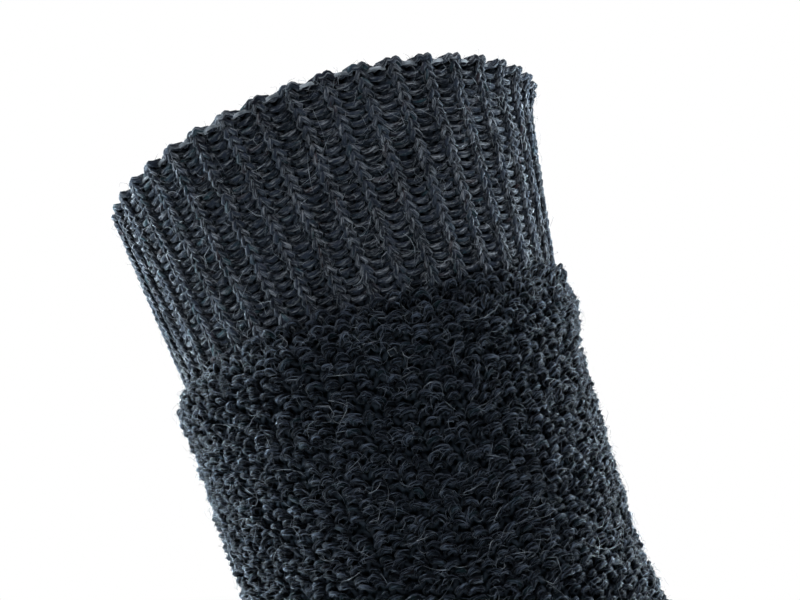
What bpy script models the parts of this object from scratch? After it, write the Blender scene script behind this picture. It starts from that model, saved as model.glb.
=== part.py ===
"""A thick thermal sock, filled out round as when worn, with its mouth open.

The leg leans back a little from the upright, the toes point along +X and the
sole faces -Z. The origin is the middle of the rib cuff, on the leg's axis.
Lengths in the tables are millimetres; MM turns them into metres.
"""

import math
from collections import namedtuple

import bmesh
import bpy
from mathutils import Vector

MM = 0.001

# ---- rib cuff
CUFF_HEIGHT = 45.1            # rim to the first terry row, along the cuff's axis
CUFF_LEAN = 15.2              # degrees the cuff's axis leans back
RIM_HALF_DEPTH = 50.0         # half the mouth, heel side to instep side
CUFF_END_HALF_DEPTH = 43.4    # the same where the cuff meets the terry
CUFF_ROUNDNESS = 0.90         # side-to-side size over front-to-back size
RIB_COUNT = 42
RIB_RELIEF = 1.3              # how far a knit wale stands over a purl wale
CUFF_WALL = 3.0               # at the top of a rib
RIM_SIDE_RISE = 1.9           # the rim is higher at both sides than in front
RIM_FRONT_RISE = 3.35         # and higher at the instep than at the calf
RIM_SCALLOP = 0.5             # each rib ends a little above its neighbour wale
SCALLOP_FADE = 8              # how quickly the scallop dies out down the cuff

# ---- terry leg and foot
LEG_LEAN = 17.3               # degrees the leg's axis leans back below the cuff
LEAN_CHANGE = 40.0            # the lean changes over this length under the cuff
TERRY_WALL = 4.0              # ground knit and its loops together
SEAM_GAP = 0.3
COLUMNS = 48                  # points round a section; a multiple of 4
SIDE = COLUMNS // 4           # the column at the side of the foot

LegRow = namedtuple("LegRow", "below_cuff half_depth half_width")
LEG_ROWS = (
    LegRow(0.3, 44.2, 39.8),
    LegRow(2.0, 45.4, 41.0),
    LegRow(16.0, 45.3, 40.8),
    LegRow(30.0, 44.8, 40.4),
    LegRow(44.0, 44.0, 39.7),
    LegRow(58.0, 43.1, 38.9),
    LegRow(74.0, 42.2, 38.0),
    LegRow(90.0, 41.4, 37.2),
    LegRow(106.0, 40.9, 36.6),
    LegRow(122.0, 40.6, 36.2),
    LegRow(136.0, 40.9, 36.0),
)

# Heel and foot sections: the end on the heel or sole, the end on the instep
# or the top of the foot, half the width, and how square the sole side is.
FootRow = namedtuple("FootRow", "back_x back_z top_x top_z half_width sole")
HEEL_ROWS = (
    FootRow(7.3, -171.5, 87.6, -147.6, 35.9, 0.00),
    FootRow(4.4, -190.0, 90.8, -153.2, 35.6, 0.05),
    FootRow(6.6, -207.5, 94.6, -158.2, 35.4, 0.10),
    FootRow(17.5, -220.6, 99.2, -162.8, 35.4, 0.15),
    FootRow(37.5, -226.0, 104.8, -167.1, 36.2, 0.20),
    FootRow(64.0, -226.6, 112.0, -171.6, 37.6, 0.30),
)
FOOT_ROWS = (
    FootRow(80.0, -226.4, 119.5, -173.8, 38.9, 0.40),
    FootRow(97.0, -226.2, 129.5, -176.2, 40.3, 0.50),
    FootRow(114.0, -226.0, 140.5, -178.2, 41.8, 0.55),
    FootRow(131.0, -226.0, 152.5, -179.9, 43.3, 0.60),
    FootRow(149.0, -226.0, 165.5, -181.3, 44.6, 0.65),
    FootRow(167.0, -226.2, 179.0, -182.6, 45.5, 0.70),
    FootRow(185.0, -226.4, 193.5, -184.0, 45.8, 0.70),
    FootRow(203.0, -226.4, 209.0, -186.0, 45.3, 0.70),
    FootRow(219.0, -226.0, 223.0, -188.8, 43.8, 0.65),
)
TOE_ROWS = (
    FootRow(232.0, -225.3, 234.5, -192.2, 41.2, 0.60),
    FootRow(243.5, -224.2, 245.2, -196.4, 37.2, 0.50),
    FootRow(253.0, -222.7, 254.4, -201.0, 31.4, 0.40),
    FootRow(260.5, -220.6, 261.4, -205.6, 24.0, 0.30),
    FootRow(265.4, -217.8, 265.8, -209.8, 14.4, 0.20),
)
TOE_TIP = (267.6, -213.8)

RIB_KNIT = (0.030, 0.037, 0.047)
TERRY_KNIT = (0.019, 0.024, 0.031)
HEEL_KNIT = (0.020, 0.025, 0.033)
FOOT_KNIT = (0.018, 0.023, 0.030)
TOE_KNIT = (0.021, 0.026, 0.034)


def clear_scene():
    """Start from an empty scene."""
    for thing in list(bpy.data.objects):
        bpy.data.objects.remove(thing, do_unlink=True)


def lean_axes(degrees):
    """Unit vectors up a leaning tube and towards its instep side."""
    angle = math.radians(degrees)
    up = Vector((-math.sin(angle), 0.0, math.cos(angle)))
    forward = Vector((math.cos(angle), 0.0, math.sin(angle)))
    return up, forward


def cloth(name, colour):
    """A matt knitted-wool material."""
    made = bpy.data.materials.new(name)
    made.use_nodes = True
    shader = made.node_tree.nodes["Principled BSDF"]
    shader.inputs["Base Color"].default_value = (*colour, 1.0)
    shader.inputs["Roughness"].default_value = 0.92
    shader.inputs["Metallic"].default_value = 0.0
    made.diffuse_color = (*colour, 1.0)
    return made


def add_object(name, form, colour):
    """Put a finished closed form in the scene as one named, smooth object."""
    bmesh.ops.recalc_face_normals(form, faces=form.faces)
    for face in form.faces:
        face.smooth = True
    mesh = bpy.data.meshes.new(name)
    form.to_mesh(mesh)
    form.free()
    mesh.materials.append(cloth(name, colour))
    made = bpy.data.objects.new(name, mesh)
    bpy.context.collection.objects.link(made)
    return made


# ---------------------------------------------------------------- rib cuff
# One rib: where round its pitch a point lies, and how far up the relief.
RIB_POINTS = ((0.0, 0.0), (0.22, 0.72), (0.5, 1.0), (0.78, 0.72))

# The wall's profile, from the cuff's lower end up the outside, over the
# rim and down the plain inside: distance below the rim, depth under the
# rib's top, and the share of the rib relief there.
WallRow = namedtuple("WallRow", "below_rim depth rib")
CUFF_PROFILE = (
    WallRow(CUFF_HEIGHT, 0.5, 1.0),
    WallRow(CUFF_HEIGHT - 1.0, 0.0, 1.0),
    WallRow(30.0, 0.0, 1.0),
    WallRow(16.0, 0.0, 1.0),
    WallRow(1.6, 0.0, 1.0),
    WallRow(0.4, 0.5, 0.8),
    WallRow(0.0, 1.5, 0.0),
    WallRow(0.5, 2.6, 0.0),
    WallRow(2.0, CUFF_WALL, 0.0),
    WallRow(23.0, CUFF_WALL, 0.0),
    WallRow(CUFF_HEIGHT, CUFF_WALL, 0.0),
)


def cuff_point(row, angle, relief):
    """A point of the cuff's wall on one profile row."""
    up, forward = lean_axes(CUFF_LEAN)
    share = row.below_rim / CUFF_HEIGHT
    half_depth = RIM_HALF_DEPTH + (CUFF_END_HALF_DEPTH - RIM_HALF_DEPTH) * share
    half_width = half_depth * CUFF_ROUNDNESS
    sunk = row.depth + RIB_RELIEF * row.rib * (1.0 - relief)
    rise = RIM_FRONT_RISE * math.cos(angle) - RIM_SIDE_RISE * math.cos(2.0 * angle)
    rise = rise * (1.0 - share)
    rise += RIM_SCALLOP * relief * (1.0 - share) ** SCALLOP_FADE
    point = up * (CUFF_HEIGHT / 2.0 - row.below_rim + rise)
    point += forward * ((half_depth - sunk) * math.cos(angle))
    point += Vector((0.0, (half_width - sunk) * math.sin(angle), 0.0))
    return point * MM


def build_cuff():
    """Skin the profile rows round the ribs into one closed ring."""
    form = bmesh.new()
    rings = []
    for row in CUFF_PROFILE:
        ring = []
        for rib in range(RIB_COUNT):
            for place, relief in RIB_POINTS:
                angle = 2.0 * math.pi * (rib + place) / RIB_COUNT
                ring.append(form.verts.new(cuff_point(row, angle, relief)))
        rings.append(ring)
    around = len(rings[0])
    for lower, upper in zip(rings, rings[1:] + rings[:1]):
        for this in range(around):
            after = (this + 1) % around
            form.faces.new((lower[this], lower[after], upper[after], upper[this]))
    return add_object("rib_cuff", form, RIB_KNIT)


# --------------------------------------------------- leg, heel, foot and toe
# A section is the two ends of its depth, its half-width and its sole shape.
Section = namedtuple("Section", "back top half_width sole")


def leg_section(row):
    """A section square to the leaning leg."""
    cuff_up = lean_axes(CUFF_LEAN)[0]
    up = lean_axes(LEG_LEAN)[0]
    turned = min(1.0, row.below_cuff / LEAN_CHANGE)
    forward = lean_axes(CUFF_LEAN + (LEG_LEAN - CUFF_LEAN) * turned)[1]
    centre = cuff_up * (-CUFF_HEIGHT / 2.0) - up * row.below_cuff
    reach = forward * row.half_depth
    return Section(centre - reach, centre + reach, row.half_width, 0.0)


def foot_section(row):
    """A section from the heel or sole up to the instep or the top of the foot."""
    back = Vector((row.back_x, 0.0, row.back_z))
    top = Vector((row.top_x, 0.0, row.top_z))
    return Section(back, top, row.half_width, row.sole)


def shifted(section, distance):
    """The same section moved along the sock, towards the toe."""
    across = (section.top - section.back).normalized()
    onward = Vector((across.z, 0.0, -across.x)) * distance
    return section._replace(back=section.back + onward, top=section.top + onward)


def section_point(section, angle, inset):
    """A point of the outside, or of the inside where inset is the wall."""
    centre = (section.back + section.top) / 2.0
    across = section.top - section.back
    half_depth = across.length / 2.0 - inset
    power = 1.0
    if math.cos(angle) < -1e-9:
        power = 2.0 / (2.0 + section.sole)
    along = math.copysign(abs(math.cos(angle)) ** power, math.cos(angle))
    beside = math.copysign(abs(math.sin(angle)) ** power, math.sin(angle))
    point = centre + across.normalized() * (half_depth * along)
    point += Vector((0.0, (section.half_width - inset) * beside, 0.0))
    return point * MM


# The middle of a cubic through four evenly spaced points takes these shares.
NEAR_SHARE = 9.0 / 16.0
FAR_SHARE = -1.0 / 16.0


def curve_middle(before, start, end, after):
    """The point halfway from start to end on a smooth curve through all four."""
    return (start + end) * NEAR_SHARE + (before + after) * FAR_SHARE


def with_middles(sections, before, after):
    """Round a turn: a section on a smooth curve between each two given ones."""
    known = [before] + sections + [after]
    rounded = [sections[0]]
    for number in range(1, len(sections)):
        four = known[number - 1:number + 3]
        rounded.append(Section(*(curve_middle(*ends) for ends in zip(*four))))
        rounded.append(sections[number])
    return rounded


LEG_SECTIONS = [leg_section(row) for row in LEG_ROWS]
FOOT_SECTIONS = [foot_section(row) for row in FOOT_ROWS]
TOE_SECTIONS = [foot_section(row) for row in TOE_ROWS]
HEEL_SECTIONS = with_middles(
    [foot_section(row) for row in HEEL_ROWS], LEG_SECTIONS[-1], FOOT_SECTIONS[0]
)
TURN = len(HEEL_SECTIONS) // 2

# All sections in order, with a second one just past each seam.
SECTIONS = list(LEG_SECTIONS)
LEG_END = len(SECTIONS)
SECTIONS.append(HEEL_SECTIONS[0])
HEEL_START = len(SECTIONS)
SECTIONS.append(shifted(HEEL_SECTIONS[0], SEAM_GAP))
SECTIONS += HEEL_SECTIONS[1:TURN]
INSTEP_A = len(SECTIONS)
SECTIONS.append(HEEL_SECTIONS[TURN])
INSTEP_B = len(SECTIONS)
SECTIONS.append(shifted(HEEL_SECTIONS[TURN], SEAM_GAP))
SECTIONS += HEEL_SECTIONS[TURN + 1:-1]
HEEL_END = len(SECTIONS)
SECTIONS.append(shifted(HEEL_SECTIONS[-1], -SEAM_GAP))
FOOT_START = len(SECTIONS)
SECTIONS.append(HEEL_SECTIONS[-1])
SECTIONS += FOOT_SECTIONS
FOOT_END = len(SECTIONS) - 1
TOE_START = len(SECTIONS)
SECTIONS.append(shifted(FOOT_SECTIONS[-1], SEAM_GAP))
SECTIONS += TOE_SECTIONS
TIP = len(SECTIONS)

# Columns run from the instep round by one side to the sole and back by the
# other. The two side columns are doubled where the heel pocket is let in.
FRONT_SIDE = (SIDE, COLUMNS - SIDE)
COLUMN_KEYS = []
for number in range(COLUMNS):
    if number == FRONT_SIDE[0]:
        COLUMN_KEYS += [(number, "front"), (number, "back")]
    elif number == FRONT_SIDE[1]:
        COLUMN_KEYS += [(number, "back"), (number, "front")]
    elif FRONT_SIDE[0] < number < FRONT_SIDE[1]:
        COLUMN_KEYS.append((number, "back"))
    else:
        COLUMN_KEYS.append((number, "front"))


def corner(row, column):
    """The corner that this place in the net stands for; some places share."""
    number, half = column
    if row == TIP:
        return (TIP, 0, "front")
    if row == HEEL_START and half == "front":
        row = LEG_END
    if row == INSTEP_B and half == "back":
        row = INSTEP_A
    if row == HEEL_END and half == "front":
        row = FOOT_START
    beside_heel = HEEL_START <= row <= HEEL_END
    if number in FRONT_SIDE and not beside_heel:
        half = "front"
    return (row, number, half)


def corner_point(key, inset):
    """Where a corner of the net lies."""
    row, number, half = key
    if row == TIP:
        return Vector((TOE_TIP[0] - inset, 0.0, TOE_TIP[1])) * MM
    angle = 2.0 * math.pi * number / COLUMNS
    section = SECTIONS[row]
    if number in FRONT_SIDE and half == "back":
        half_depth = (section.top - section.back).length / 2.0 - TERRY_WALL
        towards_back = 1.0 if number == FRONT_SIDE[0] else -1.0
        angle += towards_back * SEAM_GAP / half_depth
    return section_point(section, angle, inset)


def owner(row, half, gap_column):
    """Which piece the net's face below this row belongs to; None is a seam."""
    if row < LEG_END:
        return "terry_leg"
    if row < FOOT_START:
        if gap_column:
            return None
        if half == "front":
            if row == INSTEP_A:
                return None
            return "terry_leg" if row < INSTEP_A else "terry_foot"
        return "heel_pocket" if HEEL_START <= row < HEEL_END else None
    if row < FOOT_END:
        return "terry_foot"
    return "toe_cap" if row >= TOE_START else None


def net_faces():
    """The corners of every face, sorted by the piece that owns it."""
    faces = {}
    for row in range(TIP):
        for place, column in enumerate(COLUMN_KEYS):
            following = COLUMN_KEYS[(place + 1) % len(COLUMN_KEYS)]
            gap_column = column[0] == following[0]
            half = "back" if "back" in (column[1], following[1]) else "front"
            piece = owner(row, half, gap_column)
            loop = []
            for at_row, at_column in (
                (row, column), (row, following), (row + 1, following), (row + 1, column)
            ):
                key = corner(at_row, at_column)
                if key not in loop:
                    loop.append(key)
            if piece and len(loop) > 2:
                faces.setdefault(piece, []).append(loop)
    return faces


def build_wall(name, loops, colour):
    """Give a piece of the net its wall: outside, inside and cut edges."""
    form = bmesh.new()
    outside, inside, edge_uses = {}, {}, {}
    for loop in loops:
        for key in loop:
            if key not in outside:
                outside[key] = form.verts.new(corner_point(key, 0.0))
                inside[key] = form.verts.new(corner_point(key, TERRY_WALL))
        for start, end in zip(loop, loop[1:] + loop[:1]):
            pair = frozenset((start, end))
            edge_uses.setdefault(pair, []).append((start, end))
    for loop in loops:
        form.faces.new([outside[key] for key in loop])
        form.faces.new([inside[key] for key in reversed(loop)])
    for uses in edge_uses.values():
        if len(uses) == 1:
            start, end = uses[0]
            form.faces.new((outside[end], outside[start], inside[start], inside[end]))
    return add_object(name, form, colour)


clear_scene()
build_cuff()
PIECE_COLOURS = {
    "terry_leg": TERRY_KNIT,
    "heel_pocket": HEEL_KNIT,
    "terry_foot": FOOT_KNIT,
    "toe_cap": TOE_KNIT,
}
NET = net_faces()
for piece_name, piece_colour in PIECE_COLOURS.items():
    build_wall(piece_name, NET[piece_name], piece_colour)
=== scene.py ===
# %% [markdown]
# # A thick thermal sock
# The sock is filled out round as if a leg were in it: a ribbed cuff with its mouth
# open, and a leg, heel, foot and toe in terry knit, whose loops stand outside. A real
# one is one long yarn, bent into stitches, so this lesson lays real lengths of yarn on
# the sock's form instead of painting a knit picture on a smooth tube.

# %% Load the fixed frame
import math
import bmesh
import bpy
import numpy as np
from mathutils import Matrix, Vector


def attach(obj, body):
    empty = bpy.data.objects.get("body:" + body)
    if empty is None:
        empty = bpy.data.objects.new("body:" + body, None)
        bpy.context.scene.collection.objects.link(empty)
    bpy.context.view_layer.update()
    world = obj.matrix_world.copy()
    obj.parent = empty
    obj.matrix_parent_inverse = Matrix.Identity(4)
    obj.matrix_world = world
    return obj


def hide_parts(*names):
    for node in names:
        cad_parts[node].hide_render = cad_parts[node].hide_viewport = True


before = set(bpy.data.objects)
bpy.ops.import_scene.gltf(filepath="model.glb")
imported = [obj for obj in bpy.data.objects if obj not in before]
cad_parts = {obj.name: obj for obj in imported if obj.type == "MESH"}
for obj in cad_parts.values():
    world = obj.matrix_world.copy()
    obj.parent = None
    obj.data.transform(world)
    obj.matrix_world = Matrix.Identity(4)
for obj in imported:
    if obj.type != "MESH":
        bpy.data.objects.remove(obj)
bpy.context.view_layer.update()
MM = 0.001
TURN = 2.0 * math.pi
print("nodes", sorted(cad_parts))

# %% [markdown]
# ## The camera
# The photo is a close-up from below the rim, looking a little upwards, so the rim's
# near edge bulges up. A camera could be placed by eye, but the widths of the cuff at
# several heights fix its distance, so this one stands 0.31 m away.

# %% Camera
CAMERA_PLACE = (0.01263, -0.31365, -0.06776)
CAMERA_PITCH = 9.85           # degrees upwards
CAMERA_LENS = 62.84           # millimetres on a 36 mm sensor

lens = bpy.data.cameras.new("camera")
lens.sensor_width = 36.0
lens.lens = CAMERA_LENS
lens.clip_start, lens.clip_end = 0.01, 20.0
camera = bpy.data.objects.new("camera", lens)
camera.location = CAMERA_PLACE
camera.rotation_euler = (math.radians(90.0 + CAMERA_PITCH), 0.0, 0.0)
bpy.context.scene.collection.objects.link(camera)
bpy.context.scene.camera = camera
print("camera", tuple(camera.location))

# %% [markdown]
# ## The sock's form
# A sock is one tube that bends at the heel and closes at the toe. It could be shaped as
# a mesh first and the yarn pressed onto it, but formulas place every stitch exactly. So
# each has three numbers: how far round the tube, how far down it and how far out from
# it. Two functions turn those into points: one for the cuff, a leaning tube that widens
# to its rim, and one for the rest, which follows cross-sections from the leg round the
# heel to the toe. The sizes are those of the solid part.

# %% Cuff form
CUFF_HEIGHT, CUFF_LEAN = 45.1, 15.2
RIM_HALF_DEPTH, CUFF_END_HALF_DEPTH, CUFF_ROUNDNESS = 50.0, 43.4, 0.90
RIM_SIDE_RISE, RIM_FRONT_RISE, RIM_FRONT_DIP = 1.9, 3.35, 1.4
RIM_CURL, RIM_CURL_REACH = 1.9, 3.0
RIM_FULLNESS, CUFF_END_FULLNESS = 0.4, 1.0
RIBS = 42


def unit(vectors):
    return vectors / np.maximum(np.linalg.norm(vectors, axis=-1, keepdims=True), 1e-12)


def lean_axes(degrees):
    """Up a leaning tube, and towards its instep side."""
    angle = math.radians(degrees)
    return (np.array([-math.sin(angle), 0.0, math.cos(angle)]),
            np.array([math.cos(angle), 0.0, math.sin(angle)]))


def cuff_point(around, down, out):
    """Points of the cuff: angle round it, millimetres below the rim and outwards."""
    up, forward = lean_axes(CUFF_LEAN)
    share = down / CUFF_HEIGHT
    half_depth = RIM_HALF_DEPTH + (CUFF_END_HALF_DEPTH - RIM_HALF_DEPTH) * share
    rise = RIM_FRONT_RISE * np.cos(around) - RIM_SIDE_RISE * np.cos(2.0 * around)
    instep_side = np.maximum(np.cos(around), 0.0)
    rise = rise - RIM_FRONT_DIP * instep_side ** 3
    height = CUFF_HEIGHT / 2.0 - down + rise * (1.0 - share)
    # At the instep side the rim curls out a little and the cuff is fuller.
    curl = RIM_CURL * np.exp(-np.maximum(down, -1.0) / RIM_CURL_REACH)
    fullness = RIM_FULLNESS + (CUFF_END_FULLNESS - RIM_FULLNESS) * share
    full = instep_side ** 2 * (fullness + curl)
    along = (half_depth + full + out) * np.cos(around)
    beside = (half_depth * CUFF_ROUNDNESS + full + out) * np.sin(around)
    return (height[..., None] * up + along[..., None] * forward
            + beside[..., None] * np.array([0.0, 1.0, 0.0]))


print("rim height at the instep", round(float(cuff_point(np.zeros(1), np.zeros(1), 0)[0, 2]), 1))

# %% Leg, heel, foot and toe form
LEG_LEAN, LEAN_CHANGE = 17.3, 40.0
LEG_ROWS = (   # below the cuff, half depth, half width
    (0.3, 44.2, 39.8), (2.0, 45.4, 41.0), (16.0, 45.3, 40.8), (30.0, 44.8, 40.4),
    (44.0, 44.0, 39.7), (58.0, 43.1, 38.9), (74.0, 42.2, 38.0), (90.0, 41.4, 37.2),
    (106.0, 40.9, 36.6), (122.0, 40.6, 36.2), (136.0, 40.9, 36.0),
)
HEEL_ROWS = (  # back x, back z, top x, top z, half width, squareness of the sole
    (7.3, -171.5, 87.6, -147.6, 35.9, 0.00), (4.4, -190.0, 90.8, -153.2, 35.6, 0.05),
    (6.6, -207.5, 94.6, -158.2, 35.4, 0.10), (17.5, -220.6, 99.2, -162.8, 35.4, 0.15),
    (37.5, -226.0, 104.8, -167.1, 36.2, 0.20), (64.0, -226.6, 112.0, -171.6, 37.6, 0.30),
)
FOOT_ROWS = (
    (80.0, -226.4, 119.5, -173.8, 38.9, 0.40), (97.0, -226.2, 129.5, -176.2, 40.3, 0.50),
    (114.0, -226.0, 140.5, -178.2, 41.8, 0.55), (131.0, -226.0, 152.5, -179.9, 43.3, 0.60),
    (149.0, -226.0, 165.5, -181.3, 44.6, 0.65), (167.0, -226.2, 179.0, -182.6, 45.5, 0.70),
    (185.0, -226.4, 193.5, -184.0, 45.8, 0.70), (203.0, -226.4, 209.0, -186.0, 45.3, 0.70),
    (219.0, -226.0, 223.0, -188.8, 43.8, 0.65),
)
TOE_ROWS = (
    (232.0, -225.3, 234.5, -192.2, 41.2, 0.60), (243.5, -224.2, 245.2, -196.4, 37.2, 0.50),
    (253.0, -222.7, 254.4, -201.0, 31.4, 0.40), (260.5, -220.6, 261.4, -205.6, 24.0, 0.30),
    (265.4, -217.8, 265.8, -209.8, 14.4, 0.20), (267.55, -214.2, 267.6, -213.4, 1.2, 0.10),
)


def leg_row(below, half_depth, half_width):
    """A leg section in the same words as the foot's."""
    cuff_up = lean_axes(CUFF_LEAN)[0]
    up = lean_axes(LEG_LEAN)[0]
    turned = min(1.0, below / LEAN_CHANGE)
    forward = lean_axes(CUFF_LEAN + (LEG_LEAN - CUFF_LEAN) * turned)[1]
    centre = -cuff_up * CUFF_HEIGHT / 2.0 - up * below
    back, top = centre - forward * half_depth, centre + forward * half_depth
    return (back[0], back[2], top[0], top[2], half_width, 0.0)


SECTIONS = np.array([leg_row(*row) for row in LEG_ROWS]
                    + list(HEEL_ROWS) + list(FOOT_ROWS) + list(TOE_ROWS))
middles = (SECTIONS[:, 0:2] + SECTIONS[:, 2:4]) / 2.0
STATIONS = np.concatenate([[0.0], np.cumsum(np.linalg.norm(np.diff(middles, axis=0), axis=1))])
SLOPES = np.gradient(SECTIONS, STATIONS, axis=0)
HEEL_START = STATIONS[len(LEG_ROWS)]
INSTEP = STATIONS[len(LEG_ROWS) + 2:len(LEG_ROWS) + 4].mean()
FOOT_START = STATIONS[len(LEG_ROWS) + len(HEEL_ROWS) - 1]
TOE_START = STATIONS[len(LEG_ROWS) + len(HEEL_ROWS) + len(FOOT_ROWS) - 1]
TOE_END = STATIONS[-1]
print("along the middle: heel", round(HEEL_START), "foot", round(FOOT_START), "toe", round(TOE_START))


def section_at(station):
    """The section's six sizes at any station, on smooth curves through the rows."""
    station = np.clip(station, 0.0, TOE_END)
    index = np.clip(np.searchsorted(STATIONS, station, side="right") - 1, 0, len(STATIONS) - 2)
    span = STATIONS[index + 1] - STATIONS[index]
    t = ((station - STATIONS[index]) / span)[..., None]
    span = span[..., None]
    return ((2 * t**3 - 3 * t**2 + 1) * SECTIONS[index] + (t**3 - 2 * t**2 + t) * span * SLOPES[index]
            + (3 * t**2 - 2 * t**3) * SECTIONS[index + 1] + (t**3 - t**2) * span * SLOPES[index + 1])


SWELL, SWELL_STATION, SWELL_SPREAD = 3.3, 79.0, 14.0   # the instep side fills out a little
ROLL, ROLL_REACH = 2.2, 6.0                            # it rolls over the cuff's end
WAIST, WAIST_STATION, WAIST_SPREAD = 0.5, 25.0, 15.0   # and has a slight waist between them
SUNK, SUNK_REACH, FULLER_BACK = 1.1, 8.0, 0.4          # the back only starts sunk in


def skin_point(around, station):
    """Points on the terry's outside: angle from the instep, station down the sock."""
    row = section_at(station)
    back = np.stack([row[..., 0], np.zeros_like(row[..., 0]), row[..., 1]], -1)
    top = np.stack([row[..., 2], np.zeros_like(row[..., 0]), row[..., 3]], -1)
    cosine, sine = np.cos(around), np.sin(around)
    power = np.where(cosine < 0.0, 2.0 / (2.0 + row[..., 5]), 1.0)
    along = np.sign(cosine) * np.abs(cosine) ** power
    beside = np.sign(sine) * np.abs(sine) ** power * row[..., 4]
    point = (back + top) / 2.0 + (top - back) / 2.0 * along[..., None]
    point[..., 1] += beside
    below = np.where(station > SWELL_STATION, 3.0, 1.0)          # it fades slowly towards the ankle
    swell = (SWELL * np.exp(-((station - SWELL_STATION) / SWELL_SPREAD / below) ** 2)
             + ROLL * np.exp(-station / ROLL_REACH)
             - WAIST * np.exp(-((station - WAIST_STATION) / WAIST_SPREAD) ** 2))
    sunk = SUNK * np.exp(-(station / SUNK_REACH) ** 2) - FULLER_BACK
    swell = swell * np.maximum(cosine, 0.0) ** 2 + sunk * np.maximum(-cosine, 0.0) ** 2
    point += unit(top - back) * swell[..., None]
    return point


def terry_point(around, station, out):
    """Points over or under the terry's outside, square to it."""
    here = skin_point(around, station)
    around_step = skin_point(around + 0.004, station) - skin_point(around - 0.004, station)
    down_step = skin_point(around, station + 0.3) - skin_point(around, station - 0.3)
    square = np.cross(down_step, around_step)
    square /= np.maximum(np.linalg.norm(square, axis=-1, keepdims=True), 1e-9)
    return here + square * np.asarray(out)[..., None]


# %% [markdown]
# ## Shader sums in Python
# A knit's colour is built from patterns that are added and multiplied. Writing each
# Math node by hand is long and hard to read, so a small class wraps a socket: an
# expression on wrapped sockets adds the nodes, and one method makes any other node.

# %% Shader helpers
class Value:
    """A number socket that Python sums can use."""

    def __init__(self, finish, socket):
        self.finish, self.socket = finish, socket

    def __add__(self, other):
        return self.finish.math("ADD", self, other)

    def __rsub__(self, other):
        """A plain number less this socket."""
        return self.finish.math("SUBTRACT", other, self)

    def __mul__(self, other):
        return self.finish.math("MULTIPLY", self, other)


class Finish:
    """A material that is put together one node at a time."""

    def __init__(self, name):
        self.material = bpy.data.materials.new(name)
        self.material.use_nodes = True
        self.tree = self.material.node_tree
        self.shader = self.tree.nodes["Principled BSDF"]

    def node(self, kind, settings=None, **inputs):
        """A node with its settings made first, then its sockets filled."""
        made = self.tree.nodes.new("ShaderNode" + kind)
        for name, value in (settings or {}).items():
            setattr(made, name, value)
        for name, value in inputs.items():
            self.fill(made.inputs[name.replace("_", " ")], value)
        return made

    def fill(self, socket, value):
        """Link a socket, or give it a plain value."""
        if isinstance(value, Value):
            self.tree.links.new(value.socket, socket)
        elif isinstance(value, bpy.types.NodeSocket):
            self.tree.links.new(value, socket)
        else:
            socket.default_value = value

    def math(self, operation, first, second):
        """A sum of two sockets or numbers."""
        made = self.tree.nodes.new("ShaderNodeMath")
        made.operation = operation
        self.fill(made.inputs[0], first)
        self.fill(made.inputs[1], second)
        return Value(self, made.outputs[0])

    def scaled(self, vector, scale):
        """A vector whose parts are scaled, so a pattern on it is stretched."""
        return self.node("Mapping", {"vector_type": "POINT"}, Vector=vector, Scale=scale).outputs["Vector"]

    def noise(self, vector, scale, detail=2.0, roughness=0.5):
        """Cloudy noise from 0 to 1."""
        made = self.node("TexNoise", Vector=vector, Scale=scale, Detail=detail, Roughness=roughness)
        return Value(self, made.outputs["Fac"])

    def ramp(self, value, low, high):
        """0 below low, 1 above high, smooth between."""
        made = self.node("MapRange", {"interpolation_type": "SMOOTHSTEP"}, Value=value)
        made.inputs["From Min"].default_value = low
        made.inputs["From Max"].default_value = high
        return Value(self, made.outputs["Result"])

    def mix(self, factor, first, second):
        """Colour first where the factor is 0 and second where it is 1."""
        made = self.tree.nodes.new("ShaderNodeMix")
        made.data_type = "RGBA"
        self.fill(made.inputs["Factor"], factor)
        for socket, value in ((made.inputs[6], first), (made.inputs[7], second)):
            self.fill(socket, (*value, 1.0) if isinstance(value, tuple) else value)
        return made.outputs[2]


# %% [markdown]
# ## Heathered wool
# The yarn is dark navy wool spun with paler grey and a few teal and brown fibres. Up
# close each yarn shows fine streaks that wind round it. A noise stretched along the
# yarn gives them, read from an attribute that every yarn carries: millimetres along it
# and the place round it, turned by the twist. Object coordinates would not follow it.

# %% Yarn finish
NAVY, CHARCOAL = (0.0054, 0.0072, 0.0108), (0.0017, 0.0023, 0.0035)
TEAL_FIBRE, BROWN_FIBRE = (0.006, 0.020, 0.024), (0.016, 0.009, 0.008)
# Painted shade: the near black that the yarn's colour turns to down between the stitches.
DEEP_PAINTED_SHADE = (0.0002, 0.0005, 0.0009)   # down between the stitches


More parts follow.
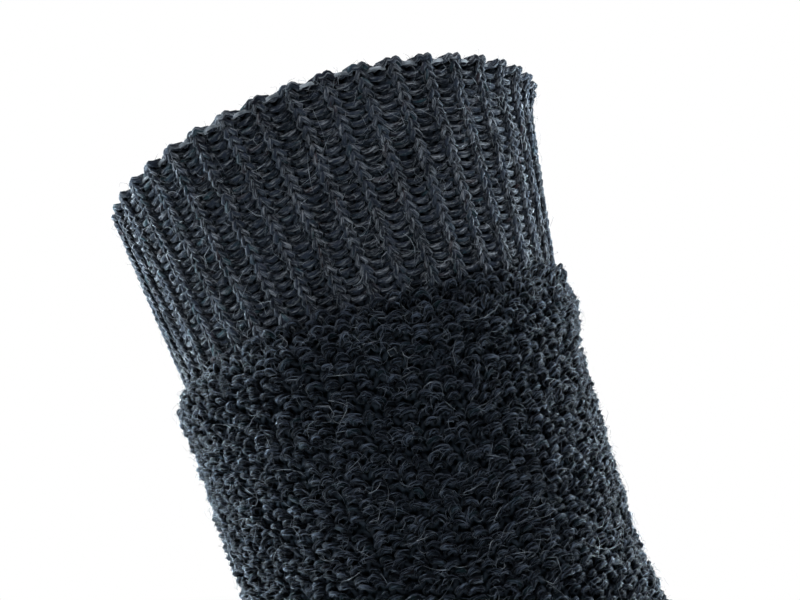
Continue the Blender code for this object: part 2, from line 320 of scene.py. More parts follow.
def yarn_finish(name, lightness, pale_tone, low, high):
    """Spun wool with fibre streaks: its dark base, its pale fibres and how many there are."""
    finish = Finish(name)
    place = finish.node("Attribute", {"attribute_name": "yarn_place"}).outputs["Vector"]
    # Painted shade, from how deep each point of the yarn lies.
    painted_shade = Value(finish, finish.node("Attribute", {"attribute_name": "painted_shade"}).outputs["Fac"])
    # Single fibres are long streaks, and their colour changes slowly along the yarn.
    streaked = finish.scaled(place, (0.17, 1.0, 1.0))
    slow = finish.scaled(place, (0.09, 0.25, 0.25))
    streak = finish.noise(streaked, 1.5, 2.0, 0.6)
    fine = finish.noise(streaked, 4.0, 1.0, 0.5)
    tint = finish.noise(slow, 1.0, 2.0)
    patch = finish.noise(finish.node("TexCoord").outputs["Object"], 230.0, 2.0)
    fibres = finish.ramp(streak * 0.6 + fine * 0.4, low, high)
    base = finish.mix(finish.ramp(patch, 0.38, 0.62), tuple(c * lightness for c in CHARCOAL),
                      tuple(c * lightness for c in NAVY))
    coloured = 0.03 + 0.35 * lightness     # teal and brown show less in the darker yarn
    base = finish.mix(finish.ramp(tint, 0.58, 0.72) * coloured, base, TEAL_FIBRE)
    base = finish.mix(finish.ramp(1.0 - tint, 0.60, 0.74) * coloured, base, BROWN_FIBRE)
    pale = finish.mix(finish.ramp(tint, 0.40, 0.66) * 0.7, pale_tone, tuple(c * 0.5 for c in pale_tone))
    colour = finish.mix(fibres, base, pale)
    # Painted shade: the colour is darkened towards that near black where the yarn lies deep between the
    # stitches and on the inner side of each tube.
    colour = finish.mix(painted_shade * 0.95 + 0.05, DEEP_PAINTED_SHADE, colour)
    finish.fill(finish.shader.inputs["Base Color"], colour)
    finish.fill(finish.shader.inputs["Roughness"], 0.96 - fibres * 0.16)
    finish.shader.inputs["Specular IOR Level"].default_value = 0.01
    finish.shader.inputs["Sheen Weight"].default_value = 0.03
    finish.shader.inputs["Sheen Roughness"].default_value = 0.30
    finish.shader.inputs["Sheen Tint"].default_value = (0.62, 0.72, 0.82, 1.0)
    bump = finish.node("Bump", Height=streak * 0.5 + fine * 0.3, Strength=1.0, Distance=0.0010)
    finish.fill(finish.shader.inputs["Normal"], bump.outputs["Normal"])
    return finish.material


RIB_YARN = yarn_finish("rib_yarn_wool", 1.15, (0.058, 0.064, 0.073), 0.475, 0.665)
TERRY_YARN = yarn_finish("terry_yarn_wool", 0.22, (0.026, 0.034, 0.048), 0.49, 0.67)
print("yarn finishes", RIB_YARN.name, TERRY_YARN.name)

# %% [markdown]
# The ground is the dense knit behind the loops and between the ribs. Little of it
# shows outside, but it is what a look into the mouth sees, so it gets rows of flat
# knit stitches by bump, and by a tone that is painted shade, darker in the grooves
# between them, from an attribute in stitches and rows.

# %% Ground, thread and stray fibre finishes
def ground_finish(name):
    """Plain knit seen from inside, in stitches across and rows down."""
    finish = Finish(name)
    place = finish.node("Attribute", {"attribute_name": "stitch_place"}).outputs["Vector"]
    parts = finish.node("SeparateXYZ", Vector=place)
    across, rows = Value(finish, parts.outputs["X"]), Value(finish, parts.outputs["Y"])
    # A stitch's two arms lean towards each other: rows shift by the distance to its middle.
    middle = finish.math("PINGPONG", across, 0.5)
    leaning = rows + middle * 1.1
    arm = finish.math("SINE", leaning * TURN, 0.0) * 0.5 + 0.5
    column = finish.math("SINE", middle * TURN, 0.0)
    height = arm * 0.7 + column * 0.5
    where = finish.node("TexCoord").outputs["Object"]
    fuzz = finish.noise(where, 1900.0, 3.0, 0.7)
    # Painted shade: the tone is darker down in the grooves between the stitches' arms and lighter on their
    # tops; the fuzz noise adds a random unevenness of tone over it.
    tone = finish.ramp(height * 0.6 + fuzz * 0.7, 0.45, 1.15)
    colour = finish.mix(tone, (0.0002, 0.0004, 0.0006), (0.0095, 0.0125, 0.0165))
    finish.fill(finish.shader.inputs["Base Color"], colour)
    finish.fill(finish.shader.inputs["Roughness"], 0.98 - tone * 0.1)
    finish.shader.inputs["Specular IOR Level"].default_value = 0.0
    bump = finish.node("Bump", Height=height + fuzz * 0.4, Strength=0.8, Distance=0.0005)
    finish.fill(finish.shader.inputs["Normal"], bump.outputs["Normal"])
    return finish.material


def strand_finish(name, low, high, roughness):
    """A single fibre or thread, a little lighter and darker along its length."""
    finish = Finish(name)
    where = finish.node("TexCoord").outputs["Object"]
    tone = finish.ramp(finish.noise(where, 420.0, 1.0), 0.35, 0.68)
    finish.fill(finish.shader.inputs["Base Color"], finish.mix(tone, low, high))
    finish.shader.inputs["Roughness"].default_value = roughness
    finish.shader.inputs["Specular IOR Level"].default_value = 0.05
    return finish.material


GROUND = ground_finish("ground_knit")
STRAY_FIBRE = strand_finish("stray_fibre", (0.015, 0.019, 0.025), (0.115, 0.130, 0.150), 0.6)
LOOP_FIBRE = strand_finish("loop_fibre", (0.006, 0.008, 0.013), (0.030, 0.037, 0.050), 0.7)
FUZZ_FIBRE = strand_finish("fuzz_fibre", (0.009, 0.012, 0.018), (0.070, 0.083, 0.102), 0.7)
RIM_THREAD = strand_finish("rim_thread", (0.024, 0.028, 0.033), (0.085, 0.095, 0.107), 0.7)
print("finishes", sorted(made.name for made in bpy.data.materials))

# %% [markdown]
# ## Lengths of yarn
# All yarn starts the same way: a grid rolled into a tube and repeated by an Array
# modifier. Curve objects with a bevel would do for a few yarns, but thousands of them
# are slow. One function then lays every tube on its own path: each ring of the tube
# goes to its place on the path and turns square to it.

# %% Yarn helpers
def straight_yarns(name, count, steps, sides):
    """A mesh of equal straight tubes, each with steps lengths and sides round it."""
    form = bmesh.new()
    bmesh.ops.create_grid(form, x_segments=steps, y_segments=sides, size=1.0)
    for vert in form.verts:
        angle = (vert.co.y + 1.0) / 2.0 * TURN
        vert.co = ((vert.co.x + 1.0) / 2.0, math.cos(angle), math.sin(angle))
    bmesh.ops.remove_doubles(form, verts=form.verts, dist=1e-5)
    mesh = bpy.data.meshes.new(name)
    form.to_mesh(mesh)
    form.free()
    made = bpy.data.objects.new(name, mesh)
    bpy.context.scene.collection.objects.link(made)
    if count > 1:
        array = made.modifiers.new("repeat", "ARRAY")
        array.use_relative_offset = False
        array.use_constant_offset = True
        array.constant_offset_displace = (0.0, 0.0, 0.0)
        array.count = count
        whole = bpy.data.meshes.new_from_object(made.evaluated_get(bpy.context.evaluated_depsgraph_get()))
        made.modifiers.clear()
        made.data = whole
        whole.name = name
    return made


def finish_piece(made, material):
    """Smooth faces, the finish, and the frame's words for a new piece."""
    made.data.polygons.foreach_set("use_smooth", np.ones(len(made.data.polygons), bool))
    made.data.materials.clear()
    made.data.materials.append(material)
    made.data.update()
    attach(made, "root")
    print(made.name, len(made.data.polygons), "faces")
    return made


def lay_yarns(name, paths, outward, radius, sides, material, depth=0.0, lit=(-2.0, 0.0),
              twist=0.4, closed=False):
    """Tubes on paths of shape (yarns, points, 3) in millimetres; outward points off the sock.

    depth is how far out each path point lies, and lit the depths where the painted shade is black and
    where it ends."""
    count, points = paths.shape[:2]
    made = straight_yarns(name, count, points - 1, sides)
    mesh = made.data
    place = np.empty(len(mesh.vertices) * 3, np.float32)
    mesh.vertices.foreach_get("co", place)
    place = place.reshape(-1, 3)
    ring = np.rint(place[:, 0] * (points - 1)).astype(int)
    angle = np.arctan2(place[:, 2], place[:, 1])
    yarn = np.repeat(np.arange(count), len(place) // count)
    if closed:
        following, before = np.roll(paths[:, :-1], -1, 1), np.roll(paths[:, :-1], 1, 1)
        heading = following - before
        heading = np.concatenate([heading, heading[:, :1]], 1)
    else:
        heading = np.gradient(paths, axis=1)
    heading = unit(heading)
    beside = unit(np.cross(heading, outward))
    lift = np.cross(beside, heading)
    radius = np.broadcast_to(radius, (count, points))
    length = np.concatenate([np.zeros((count, 1)), np.cumsum(
        np.linalg.norm(np.diff(paths, axis=1), axis=2), 1)], 1)
    turn = np.cos(angle)[:, None] * lift[yarn, ring] + np.sin(angle)[:, None] * beside[yarn, ring]
    spot = paths[yarn, ring] + turn * radius[yarn, ring][:, None]
    mesh.vertices.foreach_set("co", (spot * MM).astype(np.float32).ravel())
    # Painted shade: deeper points, and the inner side of each tube, get a factor that darkens the yarn's
    # colour.
    height = np.broadcast_to(depth, (count, points))[yarn, ring] + np.cos(angle) * radius[yarn, ring]
    painted_shade = np.clip((height - lit[0]) / (lit[1] - lit[0]), 0.0, 1.0)
    painted_shade = (painted_shade * painted_shade * (3.0 - 2.0 * painted_shade)).astype(np.float32)
    mesh.attributes.new("painted_shade", "FLOAT", "POINT").data.foreach_set("value", painted_shade)
    wound = angle + twist * length[yarn, ring]
    start = (yarn * 7.31) % 97.0        # every yarn has another piece of the streaks
    thread = np.stack([length[yarn, ring] + start, np.cos(wound), np.sin(wound)], 1)
    mesh.attributes.new("yarn_place", "FLOAT_VECTOR", "POINT").data.foreach_set(
        "vector", thread.astype(np.float32).ravel())
    mesh.update()
    # The faces have to look away from the yarn's middle.
    face = mesh.polygons[sides * (points // 2)]
    first = face.vertices[0]
    middle = Vector(paths[yarn[first], ring[first]] * MM)
    if (face.center - middle).dot(face.normal) < 0.0:
        mesh.flip_normals()
    if closed:
        form = bmesh.new()
        form.from_mesh(mesh)
        bmesh.ops.remove_doubles(form, verts=form.verts, dist=1e-7)
        form.to_mesh(mesh)
        form.free()
    return finish_piece(made, material)


# %% [markdown]
# ## The rib
# In one-by-one rib a knit wale stands forward and the next, a purl wale, lies back.
# A knit stitch shows its two arms and a purl stitch its rounded head, and this cuff
# was knitted from the rim down, so the arms lean like a roof and the heads hang like
# smiles. A bump map could draw them, but the rim and the flanks would stay smooth. One
# curve gives both kinds: each stitch runs sideways with a loop, and moves forward or
# back by the kind of its wale.

# %% Rib stitches
COURSES, COURSE_PITCH = 23, 1.90
STITCH_POINTS = 12
LOOP_HEIGHT = 3.05            # top to bottom of a stitch, so that rows interlock
KNIT_LEAN, PURL_LEAN = 0.33, 0.22   # how far a stitch's arms close in at its root
SPREAD = 0.165                # how much wider a purl wale is than a knit one
WALE_TWIST = 0.0030           # how far the wales wind round the cuff, radians a millimetre
BORDER_TILT = 0.045           # the cuff is longer at the back and shorter at the instep
KNIT_RADIUS, PURL_RADIUS = 0.55, 0.75   # pulled thin in the knit arms, plump in the purl heads
RIB_MIDDLE = -1.5             # the middle of the rib's wall, under its outside
# Painted shade of the rib and rim yarn: black at the first depth, gone at the second.
RIB_LIT, RIM_LIT = (-1.93, -0.95), (-3.2, -0.9)   # depths that are black and fully lit


def rib_path(course):
    """The path of one course, with a stitch in every wale."""
    steps = np.arange(RIBS * 2 * STITCH_POINTS + 1) / STITCH_POINTS
    wale = np.floor(steps + 1e-9).astype(int) % (RIBS * 2)
    t = (steps - np.floor(steps + 1e-9)) * TURN
    knit = wale % 2 == 0
    across = steps + np.where(knit, KNIT_LEAN, PURL_LEAN) * np.sin(2.0 * t)
    across = across - SPREAD * np.sin(math.pi * (across - 0.5))      # purl wales stretch wider
    # A knit stitch's arms come forward and its head lies back, and a purl's the other way.
    front = np.sin(t / 2.0) ** 0.6 * (0.45 - 0.65 * np.cos(2.0 * t))
    back = -1.20 * np.sin(t / 2.0) ** 0.3 + 1.10 * np.maximum(-np.cos(t), 0.0) ** 0.9
    depth = RIB_MIDDLE + np.where(knit, front, back)
    down = 1.30 + course * COURSE_PITCH - LOOP_HEIGHT / 2.0 * np.cos(t)
    around = (across - 0.5) / (RIBS * 2) * TURN
    # Hand-like unevenness: slow waves round the cuff, different for each course.
    down = down + 0.10 * np.sin(around * 11.0 + course * 1.7) + 0.08 * np.sin(around * 29.0 + course * 2.9)
    depth = depth + 0.08 * np.sin(around * 37.0 + course * 1.3)
    around = (around + 0.0022 * np.sin(around * 17.0 + course * 0.9)
              + 0.0018 * np.sin(course * 0.8 + around * 5.0))
    down = down * (1.0 - BORDER_TILT * np.cos(around))
    return around + WALE_TWIST * down, down, depth


def outward_of(form, around, down, depth):
    """Unit arrows that point off the sock."""
    return unit(form(around, down, depth + 0.5) - form(around, down, depth - 0.5))


def rib_yarn(name, courses):
    """The yarn of some courses, each a closed round."""
    parts = [rib_path(course) for course in courses]
    around, down, depth = (np.array(values) for values in zip(*parts))
    paths = cuff_point(around, down, depth)
    outward = outward_of(cuff_point, around, down, depth)
    purl = 0.5 - 0.5 * np.cos((around - WALE_TWIST * down) * RIBS)
    uneven = 1.0 + 0.07 * np.sin(around * 53.0 + down)
    thickness = (KNIT_RADIUS + (PURL_RADIUS - KNIT_RADIUS) * purl) * uneven
    return lay_yarns(name, paths, outward, thickness, 5, RIB_YARN, depth, RIB_LIT, closed=True)


rib_upper = rib_yarn("rib_yarn_upper", range(0, 11))
rib_lower = rib_yarn("rib_yarn_lower", range(11, COURSES))

# %% [markdown]
# The rim is closed by a cast-on yarn that winds over the first stitches, forward at
# the knit wales and back at the purl wales. A fine pale elastic thread runs with it:
# a light bar in each dip at both sides, and behind the wales at the instep and the
# back. Both are tubes round the mouth.

# %% Rim
def rim_yarn(name, per_rib, down_at, depth_at, radius, material):
    """A closed yarn round the rim; down_at and depth_at take the angle and the rib's wave."""
    around = np.arange(RIBS * per_rib + 1) / per_rib / RIBS * TURN
    wave = np.tanh(2.2 * np.cos(around * RIBS)) / np.tanh(2.2)
    down, depth = down_at(around, wave), depth_at(around, wave)
    paths = cuff_point(around, down, depth)[None]
    outward = outward_of(cuff_point, around, down, depth)[None]
    return lay_yarns(name, paths, outward, radius, 6, material, depth[None], RIM_LIT,
                     closed=True)


def cast_on_down(around, wave):
    return 0.18 - 0.30 * wave + 0.20 * np.cos(around * RIBS * 4.0)


def cast_on_depth(around, wave):
    return -1.45 + 0.62 * wave + 0.2 * np.sin(around * RIBS * 2.0)


def thread_down(around, wave):
    """Just under the cast-on yarn, a little uneven, and lower at the back."""
    return (0.70 + 0.15 * wave + 0.18 * np.sin(around * 9.0) + 0.15 * np.sin(around * 23.0)
            + 1.8 * np.maximum(-np.cos(around) - 0.55, 0.0))


def thread_depth(around, wave):
    """Between the wales at both sides, and behind them at the instep and the back."""
    return -1.5 - 0.5 * wave - 2.4 * np.maximum(np.abs(np.cos(around)) - 0.5, 0.0)


cast_on = rim_yarn("cast_on_yarn", 24, cast_on_down, cast_on_depth, 0.72, RIB_YARN)
rim_thread = rim_yarn("rim_thread", 8, thread_down, thread_depth, 0.38, RIM_THREAD)

# %% [markdown]
# ## The ground cloth
# Behind the yarn lies the cloth itself, a thin sheet on the sock's form. It closes the
# view through the gaps and gives the inside its surface. Each part of the sock has its
# own sheet, made from a flat grid that is wrapped round the form and thickened. Its
# size when cut open and laid flat is stated with it.

# %% Ground helpers
def wrapped_grids(name, patches, form, stitch_size, thickness):
    """Flat grids (around from, to, cells, down from, to, cells) wrapped on a form."""
    whole = bmesh.new()
    for start, end, cells, top, bottom, rows in patches:
        before = set(whole.verts)
        bmesh.ops.create_grid(whole, x_segments=cells, y_segments=rows, size=1.0)
        for vert in [v for v in whole.verts if v not in before]:
            across, down = (vert.co.x + 1.0) / 2.0, (vert.co.y + 1.0) / 2.0
            vert.co = (start + (end - start) * across, top + (bottom - top) * down, 0.0)
    mesh = bpy.data.meshes.new(name)
    whole.to_mesh(mesh)
    whole.free()
    flat = np.empty(len(mesh.vertices) * 3, np.float32)
    mesh.vertices.foreach_get("co", flat)
    flat = flat.reshape(-1, 3).astype(float)
    spots = form(flat[:, 0], flat[:, 1])
    mesh.vertices.foreach_set("co", (spots * MM).astype(np.float32).ravel())
    stitches = np.stack([flat[:, 0] / TURN * RIBS * 2, flat[:, 1] / stitch_size, np.zeros(len(flat))], 1)
    mesh.attributes.new("stitch_place", "FLOAT_VECTOR", "POINT").data.foreach_set(
        "vector", stitches.astype(np.float32).ravel())
    form_mesh = bmesh.new()
    form_mesh.from_mesh(mesh)
    bmesh.ops.remove_doubles(form_mesh, verts=form_mesh.verts, dist=2e-5)
    bmesh.ops.dissolve_degenerate(form_mesh, edges=form_mesh.edges, dist=1e-6)
    bmesh.ops.recalc_face_normals(form_mesh, faces=form_mesh.faces)
    form_mesh.to_mesh(mesh)
    form_mesh.free()
    made = bpy.data.objects.new(name, mesh)
    bpy.context.scene.collection.objects.link(made)
    middle = Vector(spots.mean(0) * MM)
    outwards = sum((p.center - middle).dot(p.normal) > 0.0 for p in mesh.polygons)
    if outwards * 2 < len(mesh.polygons):
        mesh.flip_normals()
    wall = made.modifiers.new("wall", "SOLIDIFY")
    wall.thickness = thickness * MM
    wall.offset = -1.0
    return made


def cuff_ground_form(around, down):
    wave = np.cos((around - WALE_TWIST * down) * RIBS)
    reach = 0.4 * (1.0 + wave) * np.exp(-down / 2.0)      # its top edge follows the ribs
    return cuff_point(around, down - reach, RIB_MIDDLE - 0.10 + 0.35 * wave)


LOOP_DEPTH = 2.3              # the ground lies this far under the loops' tips


def terry_ground_form(around, down):
    return terry_point(around, down, np.full_like(around, -LOOP_DEPTH))


# %% Ground sheets
QUARTER = math.pi / 2.0
CUFF_TUCKED = 3.5             # the cuff's cloth goes on a little inside the leg
CUFF_GROUND_WALL, TERRY_GROUND_WALL = 0.35, 1.5
TERRY_ROW = 2.1               # height of a stitch of the terry's ground


def terry_ground(name, patches):
    return wrapped_grids(name, patches, terry_ground_form, TERRY_ROW, TERRY_GROUND_WALL)


cuff_ground = wrapped_grids("cuff_ground", [(0.0, TURN, RIBS * 6, 0.5, CUFF_HEIGHT + CUFF_TUCKED, 12)],
                            cuff_ground_form, COURSE_PITCH, CUFF_GROUND_WALL)
leg_ground = terry_ground("leg_ground", [
    (0.0, TURN, 64, 0.0, HEEL_START, 36), (-QUARTER, QUARTER, 32, HEEL_START, INSTEP, 8)])
heel_ground = terry_ground("heel_ground", [(QUARTER, 3.0 * QUARTER, 32, HEEL_START, FOOT_START, 20)])
foot_ground = terry_ground("foot_ground", [
    (-QUARTER, QUARTER, 32, INSTEP, FOOT_START, 8), (0.0, TURN, 64, FOOT_START, TOE_START, 30)])
toe_ground = terry_ground("toe_ground", [(0.0, TURN, 64, TOE_START, TOE_END, 16)])
GROUND_SLOTS = ((cuff_ground, "rib_knit"), (leg_ground, "terry_knit"), (heel_ground, "heel_knit"),
                (foot_ground, "foot_knit"), (toe_ground, "toe_knit"))
for piece, slot_name in GROUND_SLOTS:
    finish_piece(piece, GROUND)

# %% [markdown]
# ## Terry loops
# Terry is knitted with a second yarn whose sinker loops are drawn out long, so every
# stitch carries a little arch of yarn on the outside. They lean up the leg and
# overlap like scales, each a little different. They could be scattered at random, but
# that leaves bald spots. So they are set out in columns, one per wale, at even steps
# measured along the cloth, and then each is moved a little.

# %% Loop places
WALES = RIBS * 2
LOOP_PITCH = 1.75
FULL_WALE = 1.7               # where a wale is narrower, some of its loops are left out
PLACE_JITTER = 0.17           # of a pitch or of a wale
SHOWN = 78.0                  # the photo ends about here: loops are finest above it
HIDDEN_SHARE = 0.48           # below it there are fewer and plumper loops
chance = np.random.default_rng(20)


def loop_places(pitch, wales):
    """Angle and station of every loop, with jitter."""
    grid = np.linspace(0.0, TOE_END, 900)
    found = []
    for wale in range(wales):
        angle = (wale + 0.5) / wales * TURN
        line = skin_point(np.full_like(grid, angle), grid)
        run = np.concatenate([[0.0], np.cumsum(np.linalg.norm(np.diff(line, axis=0), axis=1))])
        first = 0.9 + pitch * 0.5 * (wale % 2)
        rows = np.arange(first, run[-1], pitch)
        rows = rows + chance.normal(0.0, PLACE_JITTER * pitch, len(rows)) * (rows > 3.0)
        station = np.interp(rows, run, grid)
        turned = angle + chance.normal(0.0, PLACE_JITTER, len(rows)) * TURN / wales
        width = np.linalg.norm(skin_point(turned + TURN / wales / 2, station)
                               - skin_point(turned - TURN / wales / 2, station), axis=1)
        share = np.where(station < SHOWN, 1.0, HIDDEN_SHARE)
        keep = chance.random(len(rows)) < share * width / FULL_WALE
        found.append(np.stack([turned, station], 1)[keep])
    return np.concatenate(found)


places = loop_places(LOOP_PITCH, WALES)
print("loops", len(places))

# %% Loop shapes
# Painted shade on the loops: black at their feet down by the ground, full colour at their outer tops.
TERRY_LIT = (-1.7, 0.1)       # depths that are black and fully lit
LOOP_OPENING = 104.0          # degrees from a loop's top to each foot
LOOP_HALF_WIDTH, LOOP_REACH = (0.90, 1.55), (0.60, 1.25)
LOOP_STAND, LOOP_RADIUS = (0.68, 1.10), (0.48, 0.66)
LOOP_TWIST, LOOP_SKEW = 0.30, 0.38
FRESH, FRESH_REACH = 0.30, 4.0      # the first rows are looser
SETTLED, SETTLED_BY = 0.30, 45.0    # and further down the loops are shorter


def step_lengths(around, station):
    """Millimetres along the cloth for a radian round it and for a station down it."""
    across = skin_point(around + 0.01, station) - skin_point(around - 0.01, station)
    down = skin_point(around, station + 0.5) - skin_point(around, station - 0.5)
    return (np.maximum(np.linalg.norm(across, axis=2) / 0.02, 6.0),
            np.maximum(np.linalg.norm(down, axis=2), 0.3))


def terry_loops(name, spots, points, sides, plump):
    """Arches of yarn: two feet in the ground, the top leaning up the sock."""
    count = len(spots)
    t = np.linspace(-1.0, 1.0, points)[None]
    bend = t * math.radians(LOOP_OPENING)
    fresh = 1.0 + FRESH * np.exp(-spots[:, 1:2] / FRESH_REACH)
    wide = chance.uniform(*LOOP_HALF_WIDTH, (count, 1)) * fresh * plump
    settled = 1.0 - SETTLED * np.clip(spots[:, 1:2] / SETTLED_BY, 0.0, 1.0)
    tall = chance.uniform(*LOOP_REACH, (count, 1)) * fresh * settled
    stand = chance.uniform(*LOOP_STAND, (count, 1))
    twist = chance.normal(0.0, LOOP_TWIST, (count, 1))
    skew = chance.normal(0.0, LOOP_SKEW, (count, 1))
    x = wide * np.sin(bend)
    y = tall * (np.cos(bend) + 0.25) + 0.3
    z = -LOOP_DEPTH - 0.4 + (LOOP_DEPTH - 0.25) * stand * np.cos(bend * 0.84) ** 0.8
    x = x + skew * (y - 0.3) * 0.5
    side = x * np.cos(twist) - y * np.sin(twist)
    rise = x * np.sin(twist) + y * np.cos(twist)
    around, station = spots[:, 0:1], spots[:, 1:2]
    round_step, down_step = step_lengths(around, station)
    around = around + side / round_step
    # The first rows climb over the rib at the front and sides, and start lower at the back.
    cosine = np.cos(around)
    climb = 1.6 + 0.7 * np.maximum(cosine, 0.0) - 8.0 * np.maximum(-cosine - 0.5, 0.0)
    rise = rise + climb * np.exp(-station / 25.0)
    station = np.maximum(station - rise / down_step, -6.0)
    around = around + chance.normal(0.0, 0.12, (count, points)) / round_step
    z = z + chance.normal(0.0, 0.10, (count, points))
    on_terry = np.clip(station, 0.0, TOE_END)
    paths = terry_point(around, on_terry, z)
    # Loops of the first rows lean a little over the cuff's last courses.
    up = lean_axes(CUFF_LEAN)[0]
    outward = outward_of(terry_point, around, on_terry, z)
    paths = paths + np.maximum(-station, 0.0)[..., None] * (up + 0.22 * outward)
    slow = np.sin(t * 7.0 + chance.uniform(0.0, TURN, (count, 1)))
    lump = 1.0 + 0.12 * slow + chance.normal(0.0, 0.06, (count, points))
    radius = chance.uniform(*LOOP_RADIUS, (count, 1)) * plump * lump * (1.0 - 0.45 * np.abs(t) ** 6)
    made = lay_yarns(name, paths, outward, radius, sides, TERRY_YARN, z, TERRY_LIT, twist=0.5)
    return made, paths, outward, radius


# %% Lay the loops
around_all, station_all = places[:, 0], places[:, 1]
front = np.cos(around_all) > 0.0
in_leg = (station_all < HEEL_START) | (front & (station_all < INSTEP))
in_heel = ~front & (station_all >= HEEL_START) & (station_all < FOOT_START)
in_toe = station_all >= TOE_START
in_foot = ~in_leg & ~in_heel & ~in_toe
near = (np.sin(around_all) < 0.25) & (station_all < SHOWN)   # what the photo shows
FINE = 8                      # points along a loop that the photo shows
GROUPS = (   # name, which loops, points along one, sides round it, slot, how plump
    ("leg_loops_upper", near & (station_all < SHOWN / 2.0), FINE, 5, "terry_knit", 1.0),
    ("leg_loops_middle", near & (station_all >= SHOWN / 2.0), FINE, 5, "terry_knit", 1.0),
    ("leg_loops_far", ~near & (station_all < SHOWN), 5, 4, "terry_knit", 1.05),
    ("leg_loops_lower", in_leg & (station_all >= SHOWN), 5, 3, "terry_knit", 1.28),
    ("heel_loops", in_heel, 5, 3, "heel_knit", 1.28),
    ("foot_loops", in_foot, 5, 3, "foot_knit", 1.28),
    ("toe_loops", in_toe, 5, 3, "toe_knit", 1.28),
)
loops, laid = {}, []
for name, chosen, points, sides, slot_name, plump in GROUPS:
    loops[name], *lines = terry_loops(name, places[chosen], points, sides, plump)
    if points == FINE:
        laid.append(lines)

# %% [markdown]
# ## Fibres
# Wool is hairy: fine pale fibres lie over the stitches and stick out at the edges.
# A hair system would grow them, but the rest of the knit is tubes, so each is a thin
# three-sided tube too. Stray ones wander over the rib and the terry on curling paths,
# long or short, and others are wound round the near loops and make them look spun.

# %% Fibre helpers
STRAY_CURL = 1.5
STRAY_RADIUS, WOUND_RADIUS = (0.020, 0.042), (0.022, 0.042)


def stray_fibres(name, form, count, spread, heights, half_width, reach=1.35, points=5,
                 rounds=(0.0, TURN), material=STRAY_FIBRE):
    """Curling fibres: angle, place down and height over the surface, all wandering."""
    t = np.linspace(-0.5, 0.5, points)[None]
    around = chance.uniform(*rounds, (count, 1))
    down = chance.uniform(*spread, (count, 1))
    length = chance.gamma(3.2, reach, (count, 1)) + 1.0
    heading = chance.uniform(0.0, TURN, (count, 1))
    curl = chance.normal(0.0, STRAY_CURL, (count, 1))
    angle = heading + curl * t * 2.0
    step = length / (points - 1)
    x = np.cumsum(np.cos(angle) * step, 1)
    y = np.cumsum(np.sin(angle) * step, 1)
    x, y = x - x.mean(1, keepdims=True), y - y.mean(1, keepdims=True)
    lift = chance.uniform(0.15, 1.0, (count, 1)) ** 2
    wave = chance.uniform(0.0, TURN, (count, 1))
    low, high = heights
    height = low + (high - low) * lift * (0.5 + 0.5 * np.sin(t * 4.0 + wave))
    around = around + x / half_width
    down = np.clip(down + y, spread[0] - 1.2, spread[1] + 2.0)
    paths = form(around, down, height)
    outward = outward_of(form, around, down, height)
    radius = chance.uniform(*STRAY_RADIUS, (count, 1)) * (1.05 - np.abs(t) * 1.3)   # thin ends
    return lay_yarns(name, paths, outward, radius, 3, material, twist=0.0)


def loop_fibres(name, per_loop):
    """Single fibres that follow the near loops, wound round the yarn or a little off it."""
    paths, outward, radius = (np.concatenate(parts) for parts in zip(*laid))
    pick = chance.permutation(np.repeat(np.arange(len(paths)), per_loop))
    points = np.arange(1, FINE - 1)      # all but the loop's two feet
    paths, outward, radius = paths[pick][:, points], outward[pick][:, points], radius[pick][:, points]
    heading = unit(np.gradient(paths, axis=1))
    beside = unit(np.cross(heading, outward))
    lift = np.cross(beside, heading)
    count = len(pick)
    wound = (chance.uniform(-1.7, 1.7, (count, 1))
             + chance.normal(0.0, 0.45, (count, 1)) * np.arange(-2.5, 3.0))
    away = 1.0 + np.abs(chance.normal(0.0, 0.38, (count, 1))) + chance.normal(0.0, 0.20, (count, 6))
    turned = np.cos(wound)[..., None] * lift + np.sin(wound)[..., None] * beside
    offset = (radius * away)[..., None] * turned
    fine = chance.uniform(*WOUND_RADIUS, (count, 1)) * np.array([0.5, 1.0, 1.0, 1.0, 1.0, 0.5])
    return lay_yarns(name, paths + offset, outward, fine, 3, LOOP_FIBRE, twist=0.0)


# %% Lay the fibres
RIB_HALF, TERRY_HALF, FOOT_HALF = 44.0, 41.0, 38.0   # how wide the sock is there, from its middle
SHOWN_ROUND = (math.pi - 0.25, TURN + 0.25)          # the half round it that the photo shows

leg_loop_fibres = loop_fibres("leg_loop_fibres", 2)
rib_fibres = stray_fibres("rib_fibres", cuff_point, 800, (0.0, CUFF_HEIGHT),
                          (-0.7, 1.3), RIB_HALF)
rim_fuzz = stray_fibres("rim_fuzz", cuff_point, 320, (-0.6, 1.0), (-2.2, 0.4), RIB_HALF, 0.55, 4)
leg_fibres = stray_fibres("leg_fibres", terry_point, 1100, (0.0, HEEL_START),
                          (-0.5, 1.5), TERRY_HALF)
leg_fuzz = stray_fibres("leg_fuzz", terry_point, 1800, (0.0, SHOWN), (-0.9, 1.0), TERRY_HALF,
                        0.55, 4, SHOWN_ROUND, FUZZ_FIBRE)
foot_fibres = stray_fibres("foot_fibres", terry_point, 500, (HEEL_START, TOE_START),
                           (-0.6, 1.5), FOOT_HALF)

# %% [markdown]
# ## The sheets' flat sizes
# Every ground sheet stands for its solid, which is hidden, and the size it would have
# cut open and laid flat is printed. The table also lists the yarn, loops and fibres on it.

# %% Sheets
def flat_size(piece, across):
    """Width and length of a piece's cloth laid flat, from its outer area."""
    area = sum(face.area for face in piece.data.polygons)
    return (round(across * MM, 4), round(area / (across * MM), 4))


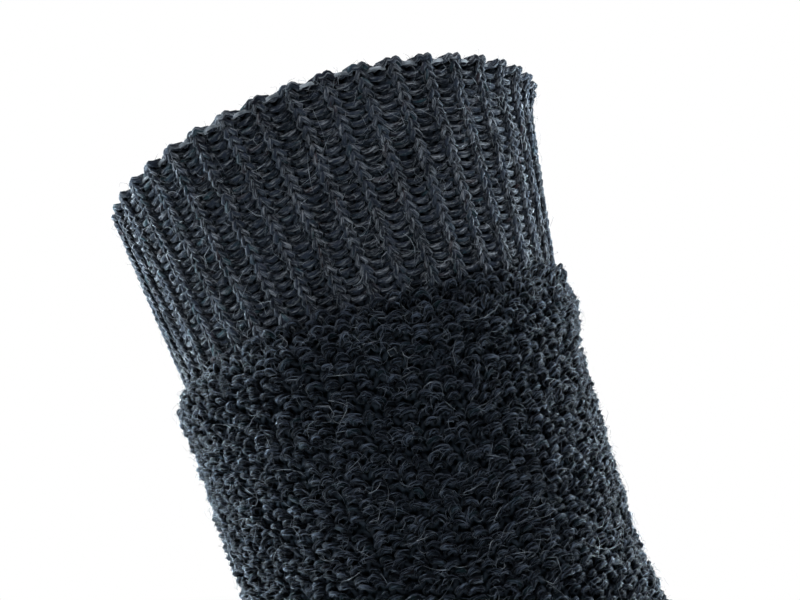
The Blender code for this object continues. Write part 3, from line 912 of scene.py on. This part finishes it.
SHEETS = (   # ground, node, width round the sock when laid flat, pieces on it
    (cuff_ground, "rib_cuff", 280.0, [rib_upper, rib_lower, cast_on, rim_thread, rib_fibres, rim_fuzz]),
    (leg_ground, "terry_leg", 250.0, [
        loops["leg_loops_upper"], loops["leg_loops_middle"], loops["leg_loops_far"],
        loops["leg_loops_lower"], leg_loop_fibres, leg_fibres, leg_fuzz]),
    (heel_ground, "heel_pocket", 115.0, [loops["heel_loops"]]),
    (foot_ground, "terry_foot", 225.0, [loops["foot_loops"], foot_fibres]),
    (toe_ground, "toe_cap", 160.0, [loops["toe_loops"]]),
)
for piece, node, across, others in SHEETS:
    size = flat_size(piece, across)
    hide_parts(node)
    print(piece.name, "flat", size)

# %% [markdown]
# ## Light and floor
# The photo is a cut-out on pure white, lit softly from all round, with the sides of the
# sock brighter than its middle. The world is white where the camera sees it and gives
# only a little cool light, through the Light Path node. Two large soft lamps a little
# behind the sock brighten its edges, two narrow ones do so lower down, where the dark
# terry needs more, and one lamp above the camera lights the middle.

# %% World
WORLD_LIGHT, WORLD_SEEN = 0.13, 1.0
WORLD_TINT, WHITE = (0.80, 0.92, 1.0, 1.0), (1.0, 1.0, 1.0, 1.0)

world = bpy.data.worlds.new("studio")
bpy.context.scene.world = world
world.use_nodes = True
sky = world.node_tree
seen = sky.nodes.new("ShaderNodeLightPath").outputs["Is Camera Ray"]
amount = sky.nodes.new("ShaderNodeMapRange")
sky.links.new(seen, amount.inputs["Value"])
amount.inputs["To Min"].default_value, amount.inputs["To Max"].default_value = WORLD_LIGHT, WORLD_SEEN
sky.links.new(amount.outputs["Result"], sky.nodes["Background"].inputs["Strength"])
tone = sky.nodes.new("ShaderNodeMix")
tone.data_type = "RGBA"
sky.links.new(seen, tone.inputs["Factor"])
tone.inputs[6].default_value, tone.inputs[7].default_value = WORLD_TINT, WHITE
sky.links.new(tone.outputs[2], sky.nodes["Background"].inputs["Color"])

# %% Floor
FLOOR_MIDDLE, FLOOR_RADIUS = (0.1, 0.0, -0.2275), 0.9

floor_form = bmesh.new()
bmesh.ops.create_circle(floor_form, cap_ends=True, segments=64, radius=FLOOR_RADIUS)
bmesh.ops.translate(floor_form, verts=floor_form.verts, vec=FLOOR_MIDDLE)
floor_mesh = bpy.data.meshes.new("floor")
floor_form.to_mesh(floor_mesh)
floor_form.free()
floor = bpy.data.objects.new("floor", floor_mesh)
bpy.context.scene.collection.objects.link(floor)
pale = Finish("pale_floor")
pale.shader.inputs["Base Color"].default_value = (0.86, 0.86, 0.86, 1.0)
pale.shader.inputs["Roughness"].default_value = 0.9
floor_mesh.materials.append(pale.material)
print("floor", len(floor_mesh.polygons), "face")

# %% Lamps
def soft_lamp(name, place, aim, size, power, colour, spread=180.0):
    """A square lamp that looks at a point; a small spread keeps its light near there."""
    light = bpy.data.lights.new(name, "AREA")
    light.size, light.energy, light.color = size, power, colour
    light.spread = math.radians(spread)
    made = bpy.data.objects.new(name, light)
    made.location = place
    made.rotation_mode = "QUATERNION"
    made.rotation_quaternion = (Vector(aim) - Vector(place)).to_track_quat("-Z", "Y")
    bpy.context.scene.collection.objects.link(made)


COOL, COOLER = (0.90, 0.965, 1.0), (0.82, 0.97, 1.0)
soft_lamp("left_lamp", (-0.85, 0.34, -0.08), (0.0, 0.0, -0.05), 0.6, 112.0, COOL)
soft_lamp("right_lamp", (0.85, 0.40, -0.08), (0.0, 0.0, -0.05), 0.6, 110.0, COOL)
soft_lamp("left_low_lamp", (-0.85, 0.40, -0.08), (0.0, 0.0, -0.15), 0.35, 8.5, COOLER, 20.0)
soft_lamp("right_low_lamp", (0.85, 0.48, -0.08), (0.04, 0.0, -0.15), 0.35, 8.0, COOLER, 20.0)
soft_lamp("top_lamp", (-0.06, -0.42, 0.85), (0.0, 0.0, -0.05), 0.45, 42.0, (1.0, 1.0, 1.0))
print("lamps", sorted(light.name for light in bpy.data.lights))
bpy.context.scene.view_settings.view_transform = "Standard"
bpy.context.scene.view_settings.look = "None"
